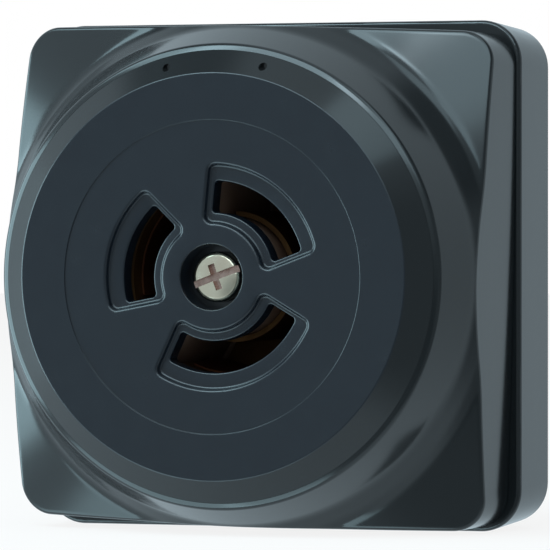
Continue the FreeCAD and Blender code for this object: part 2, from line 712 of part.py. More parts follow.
def make_screw(name, seat, kind, cross=False):
    """Pan head screw on the centre axis, its head forward of the seat, with its drive cut in"""
    body = new_body(name)
    head = "(%s + sheet.%s_head_height)" % (seat, kind)
    tip = "(%s - sheet.%s_shank_length)" % (seat, kind)
    head_radius = "sheet.%s_head_radius" % kind
    shank_radius = "sheet.%s_shank_radius" % kind
    section = new_sketch(body, "YZ_Plane")
    draw_section(section, [(head, "0"), (head, head_radius), (seat, head_radius),
                           (seat, shank_radius), (tip, shank_radius), (tip, "0")],
                 ((1, "head_round"),))
    turn(body, section)
    slot = new_sketch(body, "XZ_Plane", head)
    half = "(sheet.drive_width / 2)"
    draw_rectangle(slot, "-" + head_radius, head_radius, "-" + half, half)
    pocket(body, slot, "sheet.drive_depth")
    if cross:
        bar = new_sketch(body, "XZ_Plane", head)
        reach = "(sheet.drive_cross / 2)"
        draw_rectangle(bar, "-" + half, half, "-" + reach, reach)
        pocket(body, bar, "sheet.drive_depth")
    return body


def make_insert(name, front, outer, bore, length):
    """Threaded brass bush on the centre axis, its front face at a level"""
    body = new_body(name)
    section = new_sketch(body, "YZ_Plane")
    rear = "(%s - %s)" % (front, length)
    draw_section(section, [(front, bore), (front, outer), (rear, outer), (rear, bore)])
    turn(body, section)
    return body


def make_centre_fixing():
    """Centre screw with its washer, and the bush in the contact block that it draws on"""
    make_screw("centre_screw", HEAD_SEAT, "centre", cross=True)
    washer = new_body("centre_washer")
    section = new_sketch(washer, "YZ_Plane")
    hole = "(sheet.centre_shank_radius + sheet.thread_gap)"
    draw_section(section, [(HEAD_SEAT, hole), (HEAD_SEAT, "sheet.washer_radius"),
                           (SEAT_LEVEL, "sheet.washer_radius"), (SEAT_LEVEL, hole)])
    turn(washer, section)
    front = "(%s - sheet.hub_gap)" % HUB_LEVEL
    make_insert("centre_insert", front, CENTRE_INSERT_OUTER, hole, "sheet.centre_insert_length")


def make_block_fixings():
    """Screws through the ribs of the contact block, and their bushes in the base pedestals"""
    for pole in POLES:
        screw = make_screw("block_screw_" + pole, "sheet.fixing_head_level", "fixing")
        place_on_circle(screw, "sheet.fixing_radius", fixing_angle(pole))
        bore = "(sheet.fixing_shank_radius + sheet.thread_gap)"
        insert = make_insert("base_insert_" + pole, BLOCK_REAR, BASE_INSERT_OUTER, bore,
                             "sheet.insert_length")
        place_on_circle(insert, "sheet.fixing_radius", fixing_angle(pole))


def make_terminals():
    """For each pole its contact, spring, clamp plate and terminal screw"""
    for pole in POLES:
        make_contact(pole)
        make_contact_spring(pole)
        make_clamp_plate(pole)
        screw = make_screw("terminal_screw_" + pole, CLAMP_TOP, "terminal")
        place_on_circle(screw, "sheet.terminal_radius", "sheet.%s_mid" % pole)


def check_and_write():
    """Stop on any failed object or bad shape, then write each sub-part to its own file"""
    document.recompute()
    for item in document.Objects:
        if "Invalid" in item.State or "Error" in item.State:
            raise RuntimeError("%s failed: %s" % (item.Name, item.State))
    for body in sub_parts:
        shape = body.Shape
        if shape.isNull() or not shape.isValid() or len(shape.Solids) != 1:
            raise RuntimeError("%s is not one valid solid" % body.Label)
    os.makedirs("parts", exist_ok=True)
    for body in sub_parts:
        body.Shape.exportStep(os.path.join("parts", body.Label + ".step"))
        print("%-24s %10.1f mm3" % (body.Label, body.Shape.Volume))


fill_sheet()
make_base()
make_cover()
make_face()
make_contact_block()
make_centre_fixing()
make_block_fixings()
make_terminals()
check_and_write()
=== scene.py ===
"""Looks of a surface mounted locking socket: mouldings, metal parts, studio and camera.

Sizes are in millimetres and angles in degrees where nothing else is said. Levels count forward
from the wall.
"""
import logging
import math
from dataclasses import dataclass
from enum import Enum
from typing import ClassVar

import bmesh
import bpy
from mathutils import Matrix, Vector


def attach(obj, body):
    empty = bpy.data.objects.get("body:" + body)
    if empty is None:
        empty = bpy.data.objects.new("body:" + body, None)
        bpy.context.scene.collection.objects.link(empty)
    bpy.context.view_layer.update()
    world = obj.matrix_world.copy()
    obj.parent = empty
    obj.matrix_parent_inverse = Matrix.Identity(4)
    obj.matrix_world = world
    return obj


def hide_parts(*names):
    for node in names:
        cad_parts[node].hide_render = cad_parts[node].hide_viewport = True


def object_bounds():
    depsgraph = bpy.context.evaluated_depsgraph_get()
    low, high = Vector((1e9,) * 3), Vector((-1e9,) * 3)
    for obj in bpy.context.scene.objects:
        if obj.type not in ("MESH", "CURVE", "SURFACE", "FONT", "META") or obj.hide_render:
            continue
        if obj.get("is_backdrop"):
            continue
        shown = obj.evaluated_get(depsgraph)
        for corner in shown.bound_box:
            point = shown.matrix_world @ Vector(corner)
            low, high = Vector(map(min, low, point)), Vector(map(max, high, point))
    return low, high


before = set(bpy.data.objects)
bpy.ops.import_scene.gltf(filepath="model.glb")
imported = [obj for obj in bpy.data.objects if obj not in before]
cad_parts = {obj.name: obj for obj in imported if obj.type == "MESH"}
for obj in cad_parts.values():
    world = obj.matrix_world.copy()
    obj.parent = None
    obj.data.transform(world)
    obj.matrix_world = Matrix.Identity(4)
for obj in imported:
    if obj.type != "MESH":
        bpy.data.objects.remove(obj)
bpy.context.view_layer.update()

MM = 0.001
# Sockets of the mix node for colours, which share their names with others
MIX_FACTOR, MIX_FIRST, MIX_SECOND, MIX_RESULT = 0, 6, 7, 2
# Weight of large faces in the shading, the most that Blender takes
FLAT_WEIGHT = 100
# Fewest chords in a rounded corner
LEAST_CHORDS = 2
# How far a cutting tool stands out of the piece
TOOL_RISE = 1.0
log = logging.getLogger("locking_socket")

Pair = tuple[float, float]
Point = tuple[float, float, float]
Verts = list[bmesh.types.BMVert]
Piece = bpy.types.Object
Tree = bpy.types.NodeTree
Socket = bpy.types.NodeSocket


# Colour and node helpers


def linear(hex_colour: str) -> tuple[float, float, float, float]:
    """Turn an sRGB hex colour to the linear values that a shader takes.

    Args:
        hex_colour: Colour as "#rrggbb".

    Returns:
        Red, green, blue and an alpha of 1.
    """
    values = [int(hex_colour[start:start + 2], 16) / 255 for start in (1, 3, 5)]
    red, green, blue = [
        value / 12.92 if value <= 0.04045 else ((value + 0.055) / 1.055) ** 2.4 for value in values
    ]
    return red, green, blue, 1.0


def add_node(
    tree: Tree,
    kind: str,
    inputs: dict[str | int, object] | None = None,
    links: dict[str | int, Socket] | None = None,
    **settings: object,
) -> bpy.types.Node:
    """Add a node to a tree with its settings, input values and links.

    Args:
        tree: Node tree that gets the node.
        kind: Blender's name of the node type, without its first word ShaderNode.
        inputs: Values of input sockets, by name or number.
        links: Output sockets that feed input sockets, by name or number.
        **settings: Attributes of the node.

    Returns:
        The new node.
    """
    node = tree.nodes.new("ShaderNode" + kind)
    for name, value in settings.items():
        setattr(node, name, value)
    for name, value in (inputs or {}).items():
        node.inputs[name].default_value = value
    for name, source in (links or {}).items():
        tree.links.new(source, node.inputs[name])
    return node


class Look(Enum):
    """Surface families, with the shader's metallic value for each."""

    MOULDING = 0.0
    METAL = 1.0


@dataclass(frozen=True)
class Finish:
    """A real material and how its surface was made.

    Args:
        name: Name of the material.
        look: Surface family.
        colour: Main sRGB colour.
        second: sRGB colour that the first one drifts to.
        roughness: Roughness of the clean surface.
        roughness_drift: How much the roughness varies over the surface.
        grain_mm: Size of the surface's ripple or grit in millimetres.
        bump_mm: Height of that ripple or grit in millimetres.
        ior: Refractive index; a metal keeps the shader's own.
    """

    name: str
    look: Look
    colour: str
    second: str
    roughness: float
    roughness_drift: float
    grain_mm: float
    bump_mm: float
    ior: float | None = None
    # The colour drifts in clouds and the roughness in a haze, each so many grains across
    cloud_grains: ClassVar[float] = 12.0
    haze_grains: ClassVar[float] = 5.0
    # Values of the haze's noise where the surface is clean and where it is fully hazy
    haze_clean: ClassVar[float] = 0.35
    haze_full: ClassVar[float] = 0.75

    def material(self) -> bpy.types.Material:
        """Build the node material.

        Returns:
            The material, made once for each finish.
        """
        if self.name in bpy.data.materials:
            return bpy.data.materials[self.name]
        made = bpy.data.materials.new(self.name)
        made.use_nodes = True
        tree = made.node_tree
        shader = tree.nodes["Principled BSDF"]
        shader.inputs["Metallic"].default_value = self.look.value
        if self.ior is not None:
            shader.inputs["IOR"].default_value = self.ior
        spot = add_node(tree, "TexCoord").outputs["Object"]
        cloud_scale = self.per_metre(self.grain_mm * self.cloud_grains)
        cloud = add_node(tree, "TexNoise", {"Scale": cloud_scale, "Detail": 3.0}, {"Vector": spot})
        colour = add_node(
            tree, "Mix", {MIX_FIRST: linear(self.colour), MIX_SECOND: linear(self.second)},
            {MIX_FACTOR: cloud.outputs["Fac"]}, data_type="RGBA",
        )
        tree.links.new(colour.outputs[MIX_RESULT], shader.inputs["Base Color"])
        tree.links.new(self.roughness_of(tree, spot), shader.inputs["Roughness"])
        tree.links.new(self.bump_of(tree, spot), shader.inputs["Normal"])
        return made

    @staticmethod
    def per_metre(size_mm: float) -> float:
        """Noise scale whose features are about size_mm across."""
        return 1.0 / (size_mm * MM)

    def roughness_of(self, tree: Tree, spot: Socket) -> Socket:
        """Vary the roughness as handling and the mould do.

        Args:
            tree: Node tree of the material.
            spot: Object coordinates.

        Returns:
            Socket that carries the roughness.
        """
        haze_scale = self.per_metre(self.grain_mm * self.haze_grains)
        haze = add_node(tree, "TexNoise", {"Scale": haze_scale, "Detail": 4.0}, {"Vector": spot})
        limits = {"From Min": self.haze_clean, "From Max": self.haze_full,
                  "To Min": self.roughness, "To Max": self.roughness + self.roughness_drift}
        spread = add_node(tree, "MapRange", limits, {"Value": haze.outputs["Fac"]})
        return spread.outputs["Result"]

    def bump_of(self, tree: Tree, spot: Socket) -> Socket:
        """Raise the ripple of a moulding or the grit of a plated surface.

        Args:
            tree: Node tree of the material.
            spot: Object coordinates.

        Returns:
            Socket that carries the normal.
        """
        grain_scale = self.per_metre(self.grain_mm)
        grain = add_node(tree, "TexNoise", {"Scale": grain_scale, "Detail": 2.0}, {"Vector": spot})
        bump = add_node(tree, "Bump", {"Strength": 1.0, "Distance": self.bump_mm * MM},
                        {"Height": grain.outputs["Fac"]})
        return bump.outputs["Normal"]


# Phenolic moulding from a polished mould: near black with a cool gloss and a faint long ripple
COVER_MOULDING = Finish(
    "phenolic_gloss_black", Look.MOULDING, "#0e1214", "#0b0f11", 0.13, 0.05, 9.0, 0.012, 1.56
)
# Urea moulding from a bead blasted mould: slate black, satin, so the disc shows no sharp mirror
# image. Its real grit of about 0.1 mm is drawn at 0.7 mm, so that it shows.
FACE_MOULDING = Finish(
    "urea_satin_black", Look.MOULDING, "#10161d", "#0e131a", 0.22, 0.06, 0.7, 0.004, 1.54
)
# Phenolic moulding with wood filler: brown, and paler than it looks, as little light gets down the
# slots. Its flecks of filler are drawn at 0.8 mm.
BLOCK_MOULDING = Finish(
    "phenolic_brown_black", Look.MOULDING, "#8a6c5c", "#664d40", 0.45, 0.08, 0.8, 0.006, 1.54
)
# Rolled steel under bright zinc plate: a pale metal with a slight straw and rose drift. The grain
# of the plate is much finer than 0.1 mm; it is drawn at 0.25 mm.
PLATED_STEEL = Finish(
    "steel_zinc_plated", Look.METAL, "#f0ead2", "#e2cdb4", 0.12, 0.1, 0.25, 0.004
)
# Steel on the floors and walls of the screw's slot and cross, darker and browner than the head:
# painted shade in the drive
DRIVE_SHADE_STEEL = Finish(
    "steel_painted_drive_shade", Look.METAL, "#dcc0b4", "#7a5546", 0.24, 0.15, 0.1, 0.006
)
# Rolled brass strip, a little tarnished: warm glints in the depth of the slots. Its rolling marks,
# finer than 0.1 mm, are drawn at 0.4 mm, and so are those of the bronze.
CONTACT_BRASS = Finish(
    "brass_rolled", Look.METAL, "#7a5636", "#4e3824", 0.55, 0.15, 0.4, 0.003
)
# Phosphor bronze spring strip: redder and duller than the brass
SPRING_BRONZE = Finish(
    "phosphor_bronze", Look.METAL, "#74462f", "#4e3022", 0.55, 0.12, 0.4, 0.003
)


# Outline helpers


def place(across: float, up: float, level: float) -> Point:
    """Point of the row frame, in metres, from millimetres and the level above the wall."""
    return across * MM, -level * MM, up * MM


def clockwise(spot: Pair, degrees: float) -> Pair:
    """Across and up of a spot turned clockwise about the centre axis, as the front shows it."""
    (across, up), turn = spot, math.radians(degrees)
    return across * math.cos(turn) + up * math.sin(turn), up * math.cos(turn) - across * math.sin(turn)


def heading(turn: float) -> Vector:
    """Flat unit vector at an angle in radians, anticlockwise from the right."""
    return Vector((math.cos(turn), math.sin(turn)))


def round_outline(radius: float, count: int) -> list[Pair]:
    """Across and up of a circle's points, clockwise from the top."""
    turns = [2 * math.pi * step / count for step in range(count)]
    return [(radius * math.sin(turn), radius * math.cos(turn)) for turn in turns]


def quarter_round(radius: float, steps: int) -> list[Pair]:
    """Points of a quarter circle between two walls that it touches.

    Args:
        radius: Radius of the circle.
        steps: Number of chords.

    Returns:
        Distance from the first wall and from the second; the first point lies on the first wall.
    """
    turns = [math.pi / 2 * step / steps for step in range(steps + 1)]
    return [(radius * (1 - math.cos(turn)), radius * (1 - math.sin(turn))) for turn in turns]


def rounded_line(corners: list[tuple[float, float, float]], turn_step: float = 6.0) -> list[Pair]:
    """Replace the corners of an open line by arcs.

    Args:
        corners: Radius, level and corner radius of each point.
        turn_step: Largest turn between two points of an arc, in degrees.

    Returns:
        Points of the line with its arcs.
    """
    points: list[Pair] = []
    for index, (across, level, radius) in enumerate(corners):
        here = Vector((across, level))
        if radius <= 0 or index in (0, len(corners) - 1):
            points.append((across, level))
            continue
        before = (Vector(corners[index - 1][:2]) - here).normalized()
        after = (Vector(corners[index + 1][:2]) - here).normalized()
        opening = before.angle(after)
        centre = here + (before + after).normalized() * radius / math.sin(opening / 2)
        cut = radius / math.tan(opening / 2)
        first, last = here + before * cut - centre, here + after * cut - centre
        steps = max(LEAST_CHORDS, math.ceil(math.degrees(math.pi - opening) / turn_step))
        for step in range(steps + 1):
            arm = first.slerp(last, step / steps).normalized()
            points.append(tuple(centre + arm * radius))
    return points


# Mesh helpers


def add_object(name: str, data: bpy.types.ID) -> bpy.types.Object:
    """Put a mesh, lamp or camera into the scene.

    Args:
        name: Name of the object.
        data: What it shows.

    Returns:
        The object.
    """
    made = bpy.data.objects.new(name, data)
    bpy.context.scene.collection.objects.link(made)
    return made


class RingMesh:
    """Mesh built from closed rings of points that are joined by quads."""

    def __init__(self) -> None:
        """Start an empty mesh."""
        self.mesh = bmesh.new()

    def join(self, first: Verts, second: Verts) -> None:
        """Join two rings by quads.

        Args:
            first: Vertices of one ring.
            second: Vertices of the other one, as many.
        """
        for index in range(len(first)):
            after = (index + 1) % len(first)
            self.mesh.faces.new((first[index], first[after], second[after], second[index]))

    def loft(self, rings: list[list[Point]], closed: bool = False) -> tuple[Verts, Verts]:
        """Join a list of rings in order.

        Args:
            rings: Points of each ring.
            closed: Whether the last ring joins the first.

        Returns:
            The first and the last ring's vertices.
        """
        made = [[self.mesh.verts.new(point) for point in points] for points in rings]
        for first, second in zip(made, made[1:]):
            self.join(first, second)
        if closed:
            self.join(made[-1], made[0])
        return made[0], made[-1]

    def turn(self, line: list[Pair], around: int, closed: bool = False) -> tuple[Verts, Verts]:
        """Turn a line about the centre axis.

        Args:
            line: Radius and level of the line's points, in millimetres.
            around: Number of points around.
            closed: Whether the line's end joins its start.

        Returns:
            The first and the last ring's vertices.
        """
        return self.loft([
            [place(*spot, level) for spot in round_outline(radius, around)] for radius, level in line
        ], closed)

    def cap(self, *rings: Verts) -> None:
        """Close each ring by one flat face."""
        for ring in rings:
            self.mesh.faces.new(ring)

    def fill(self, rings: list[Verts]) -> None:
        """Fill a flat region.

        Args:
            rings: Vertices of its outer ring and of the rings around its openings.
        """
        edges = []
        for ring in rings:
            for vert, after in zip(ring, ring[1:] + ring[:1]):
                edges.append(self.mesh.edges.get((vert, after)) or self.mesh.edges.new((vert, after)))
        bmesh.ops.triangle_fill(self.mesh, use_beauty=True, use_dissolve=False, edges=edges)

    def as_object(self, name: str) -> Piece:
        """Turn the mesh into an object; the mesh is used up.

        Args:
            name: Name of the object and of its mesh.

        Returns:
            The object.
        """
        bmesh.ops.recalc_face_normals(self.mesh, faces=self.mesh.faces[:])
        data = bpy.data.meshes.new(name)
        self.mesh.to_mesh(data)
        self.mesh.free()
        return add_object(name, data)

    def finish(self, name: str, finish: Finish, slot: str, nodes: tuple[str, ...],
               sharp: float = 35.0) -> Piece:
        """Turn the mesh into a dressed piece that stands for CAD nodes.

        Args:
            name: Name of the piece.
            finish: Its finish.
            slot: The record's material slot; not used.
            nodes: CAD nodes that it replaces.
            sharp: Angle above which an edge shades as sharp, in degrees.

        Returns:
            The piece.
        """
        piece = self.as_object(name)
        smooth(piece, sharp)
        piece.data.materials.append(finish.material())
        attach(piece, "root")
        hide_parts(*nodes)
        log.info("%s: %d faces", name, len(piece.data.polygons))
        return piece


def smooth(piece: Piece, sharp: float) -> None:
    """Shade a piece smooth up to an angle, with its flat faces kept flat.

    Args:
        piece: The piece.
        sharp: Angle above which an edge shades as sharp, in degrees.
    """
    for polygon in piece.data.polygons:
        polygon.use_smooth = True
    piece.data.set_sharp_from_angle(angle=math.radians(sharp))
    weighted = piece.modifiers.new("flat_faces", "WEIGHTED_NORMAL")
    weighted.keep_sharp = True
    weighted.weight = FLAT_WEIGHT


def carve(piece: Piece, outline: list[Pair], floor: float, face: float) -> None:
    """Cut a straight recess into the front of a piece for good.

    Args:
        piece: The piece.
        outline: Across and up of the recess's outline, in millimetres.
        floor: Level of its floor.
        face: Level of the front around it.
    """
    tool = RingMesh()
    levels = (floor, face + TOOL_RISE)
    tool.cap(*tool.loft([[place(*spot, level) for spot in outline] for level in levels]))
    block = tool.as_object("tool")
    cut = piece.modifiers.new("cut", "BOOLEAN")
    cut.object, cut.operation, cut.solver = block, "DIFFERENCE", "EXACT"
    kept = [modifier for modifier in piece.modifiers if modifier != cut]
    for modifier in kept:
        modifier.show_viewport = False
    evaluated = piece.evaluated_get(bpy.context.evaluated_depsgraph_get())
    made = bpy.data.meshes.new_from_object(evaluated)
    for modifier in kept:
        modifier.show_viewport = True
    piece.modifiers.remove(cut)
    piece.data = made
    bpy.data.objects.remove(block)


# The object's own pieces


@dataclass
class BellCover:
    """Square cover whose front sweeps up from its corners to a round bell."""

    # Outline: half width, bow of the sides, corner radius and the turn on the base
    half: float = 39.85
    bulge: float = 0.35
    corner: float = 5.3
    twist: float = 1.15
    # Shell: thickness, rear edge and the roundings of its two edges
    wall: float = 2.5
    rear_level: float = 17.0
    rear_round: float = 0.25
    edge_round: float = 0.8
    # Mouth around the face, and the ledge that the face rests on
    mouth: float = 35.707
    ledge_level: float = 41.0
    ledge_depth: float = 2.5
    ledge_inner: float = 33.407
    # Bell: crest, wall down to the foot, steep flare, and facets that run out to the corners
    crest_level: float = 45.5
    crest_radius: float = 36.707
    crest_drop: float = 0.45
    foot_radius: float = 39.65
    foot_level: float = 36.9
    flare_reach: float = 2.7
    flare_angle: float = 52.0
    facet_reach: float = 16.0
    facet_angle: float = 21.5
    # Roundings from the mouth outwards
    lip_round: float = 0.02
    shoulder_round: float = 1.2
    foot_round: float = 6.0
    flare_round: float = 5.0
    # Mesh: inside wall_end its rings are round, beyond it they spread to the square, denser inside
    wall_end: float = 37.7
    side_steps: int = 132
    corner_steps: int = 26
    sweep_rings: int = 44
    sweep_power: float = 1.4
    edge_rings: int = 7
    rear_rings: int = 3
    inner_rings: int = 6
    arc_turn: float = 3.0
    least_slope: float = 0.02

    def outline(self) -> list[tuple[Vector, Vector]]:
        """Outline of the square with bulged sides, turned by the cover's twist.

        Returns:
            Spot and outward direction of each point.
        """
        bow = (self.half ** 2 + self.bulge ** 2) / (2 * self.bulge)
        back, spread = bow - self.half, bow - self.corner
        centre = (math.sqrt(2 * spread ** 2 - back ** 2) - back) / 2
        lean = math.atan2(centre, centre + back)
        corner_turn = math.pi / 2 - 2 * lean
        points = []
        for side in range(4):
            middle = side * math.pi / 2
            for step in range(self.side_steps):
                away = heading(middle - lean + 2 * lean * step / self.side_steps)
                points.append((away * bow - heading(middle) * back, away))
            pivot = heading(middle + math.pi / 4) * centre * math.sqrt(2)
            for step in range(self.corner_steps):
                away = heading(middle + lean + corner_turn * step / self.corner_steps)
                points.append((pivot + away * self.corner, away))
        return [(Vector(clockwise(spot, self.twist)), Vector(clockwise(away, self.twist)))
                for spot, away in points]

    @property
    def flare(self) -> Pair:
        """Radius and level of the corner between the flare and the facets."""
        drop = self.flare_reach * math.tan(math.radians(self.flare_angle))
        return self.foot_radius + self.flare_reach, self.foot_level - drop

    @property
    def facet_fall(self) -> float:
        """Fall of the facets over their whole reach."""
        return self.facet_reach * math.tan(math.radians(self.facet_angle))

    def bell_line(self) -> list[Pair]:
        """Front line of the bell from its mouth outwards.

        Returns:
            Radius and level of its points.
        """
        radius, level = self.flare
        return rounded_line([
            (self.mouth, self.ledge_level, 0.0),
            (self.mouth, self.crest_level, self.lip_round),
            (self.crest_radius, self.crest_level - self.crest_drop, self.shoulder_round),
            (self.foot_radius, self.foot_level, self.foot_round),
            (radius, level, self.flare_round),
            (radius + self.facet_reach, level - self.facet_fall, 0.0),
        ], self.arc_turn)

    def inner_line(self) -> list[Pair]:
        """Inner line of the bell, one wall behind the front.

        Returns:
            Radius and level of its points.
        """
        radius, level = self.flare[0] - self.wall / 2, self.flare[1] - self.wall
        return [
            (self.foot_radius - self.wall, self.foot_level - self.wall / 2),
            (radius, level),
            (radius + self.facet_reach, level - self.facet_fall),
        ]

    @staticmethod
    def level_at(line: list[Pair], radius: float) -> Pair:
        """Level of a line at a radius, and how steeply it falls there.

        Args:
            line: Radius and level of the line's points, outwards.
            radius: Where to read it.

        Returns:
            Level, and fall for each millimetre outwards.
        """
        for (inner, high), (outer, low) in zip(line, line[1:]):
            if inner < outer and inner <= radius <= outer:
                share = (radius - inner) / (outer - inner)
                return high + (low - high) * share, (high - low) / (outer - inner)
        return line[-1][1], 0.0

    def build(self) -> None:
        """Build the cover as one closed shell."""
        line = self.bell_line()
        collar = [point for point in line if point[0] < self.wall_end]
        sweep = [(self.wall_end, self.level_at(line[len(collar) - 1:], self.wall_end)[0])]
        sweep += line[len(collar):]
        columns = [self.column(collar, sweep, edge, away) for edge, away in self.outline()]
        shell = RingMesh()
        shell.loft([list(ring) for ring in zip(*columns)], closed=True)
        shell.finish("cover_bell", COVER_MOULDING, "black_moulding", ("cover_shell",))

    def column(self, collar: list[Pair], sweep: list[Pair],
               edge: Vector, away: Vector) -> list[Point]:
        """Points of the shell on one line from its mouth over the edge and back inside.

        Args:
            collar: Round part of the bell line.
            sweep: Rest of the bell line.
            edge: Spot of the outer side.
            away: Outward direction of the side there.

        Returns:
            Points in the order of the rings.
        """
        level, fall = self.level_at(sweep, edge.length)
        slope = math.atan(max(fall * edge.normalized().dot(away), self.least_slope))
        rise = math.tan(slope) * self.edge_round
        pivot = edge - away * self.edge_round
        pivot_level = level + rise - self.edge_round / math.cos(slope)
        start = edge - away * self.edge_round * (1 - math.sin(slope))
        outwards = start.normalized()
        points = [place(*(outwards * radius), height) for radius, height in collar]
        for ring in range(self.sweep_rings):
            share = (ring / self.sweep_rings) ** self.sweep_power
            radius = self.wall_end + (start.length - self.wall_end) * share
            points.append(place(*(outwards * radius), self.level_at(sweep, radius)[0]))
        for ring in range(self.edge_rings + 1):
            turn = slope + (math.pi / 2 - slope) * ring / self.edge_rings
            spot = pivot + away * self.edge_round * math.sin(turn)
            points.append(place(*spot, pivot_level + self.edge_round * math.cos(turn)))
        for inward, up in quarter_round(self.rear_round, self.rear_rings):
            points.append(place(*(edge - away * inward), self.rear_level + up))
        return points + self.inside(edge, away)

    def inside(self, edge: Vector, away: Vector) -> list[Point]:
        """Points of the shell's inside on one line, from its rear edge to the ledge.

        Args:
            edge: Spot of the outer side.
            away: Outward direction of the side there.

        Returns:
            Points in the order of the rings.
        """
        inner = edge - away * self.wall
        outwards = inner.normalized()
        line = self.inner_line()
        foot, foot_level = line[0]
        reach = max(inner.length, foot)
        points = [place(*inner, self.rear_level), place(*inner, self.level_at(line, reach)[0])]
        for step in range(1, self.inner_rings + 1):
            radius = reach + (foot - reach) * step / self.inner_rings
            points.append(place(*(outwards * radius), self.level_at(line, radius)[0]))
        collar_level = self.ledge_level - self.ledge_depth
        draft = (self.foot_radius - self.crest_radius) / (self.crest_level - self.foot_level)
        collar_radius = foot - (collar_level - foot_level) * draft
        ledge = [(collar_radius, collar_level), (self.ledge_inner, collar_level),
                 (self.ledge_inner, self.ledge_level)]
        return points + [place(*(outwards * radius), level) for radius, level in ledge]


@dataclass(frozen=True)
class ArcWalls:
    """Walls that the three slots share, or the three dishes around them, in millimetres.

    Args:
        inner: Inner radius.
        outer: Outer radius.
        margin: How far the ends lie outside a slot's radial lines.
        corner: Corner radius.
    """

    inner: float
    outer: float
    margin: float
    corner: float
    least_corner: ClassVar[float] = 0.02

    def grown(self, by: float) -> "ArcWalls":
        """The walls moved outwards, or inwards by a negative distance."""
        return ArcWalls(self.inner - by, self.outer + by, self.margin + by,
                        max(self.corner + by, self.least_corner))


@dataclass(frozen=True)
class ArcSlot:
    """Outline of an arc slot with straight ends and rounded corners.

    Args:
        middle: Angle of its middle, clockwise from the top, in degrees.
        span: Angle between the radial lines at its ends, in degrees.
    """

    middle: float
    span: float
    # Mesh: points along an end, around a corner and along an arc
    end_points: ClassVar[int] = 14
    corner_points: ClassVar[int] = 12
    arc_points: ClassVar[int] = 80

    def ring(self, walls: ArcWalls, level: float) -> list[Point]:
        """Points of the outline at a level.

        Args:
            walls: Radii, margin and corners.
            level: Level above the wall.

        Returns:
            Points, as many for any walls.
        """
        aside = walls.margin - walls.corner
        near = math.sqrt((walls.inner + walls.corner) ** 2 - aside ** 2)
        far = math.sqrt((walls.outer - walls.corner) ** 2 - aside ** 2)
        lean_near, lean_far = math.atan2(aside, near), math.atan2(aside, far)
        half = math.radians(self.span / 2)
        outer = self.arc(walls.outer, -half - lean_far)
        inner = self.arc(walls.inner, half + lean_near)
        right = self.round_corner(far, aside, walls.corner, (lean_far, math.pi / 2))
        for step in range(self.end_points):
            along = far + (near - far) * step / self.end_points
            right.append(self.by_end(along, walls.margin))
        right += self.round_corner(near, aside, walls.corner, (math.pi / 2, math.pi + lean_near))
        right.append(inner[0])
        left = [(-across, up) for across, up in reversed(right)]
        outline = outer + right[:-1] + inner + left[:-1]
        return [place(*clockwise(spot, self.middle), level) for spot in outline]

    def arc(self, radius: float, first: float) -> list[Pair]:
        """Points of an arc from end to end, without its last one.

        Args:
            radius: Radius of the arc.
            first: Angle of its first point, clockwise from the middle; the last mirrors it.

        Returns:
            Across and up, with the slot's middle at the top.
        """
        turns = [first - 2 * first * step / self.arc_points for step in range(self.arc_points)]
        return [(radius * math.sin(turn), radius * math.cos(turn)) for turn in turns]

    def by_end(self, along: float, aside: float) -> Pair:
        """Across and up of a spot along and beside the radial line at the right end."""
        return clockwise((aside, along), self.span / 2)

    def round_corner(self, along: float, aside: float, radius: float, turns: Pair) -> list[Pair]:
        """Points around a corner of the right end, without the last one.

        Args:
            along: Place of its centre along the end's radial line.
            aside: Place of its centre beside that line.
            radius: Corner radius.
            turns: First and last angle, from the radial line towards the end.

        Returns:
            Across and up, with the slot's middle at the top.
        """
        first, last = turns
        points = []
        for step in range(self.corner_points):
            turn = first + (last - first) * step / self.corner_points
            points.append(self.by_end(along + radius * math.cos(turn),
                                      aside + radius * math.sin(turn)))
        return points


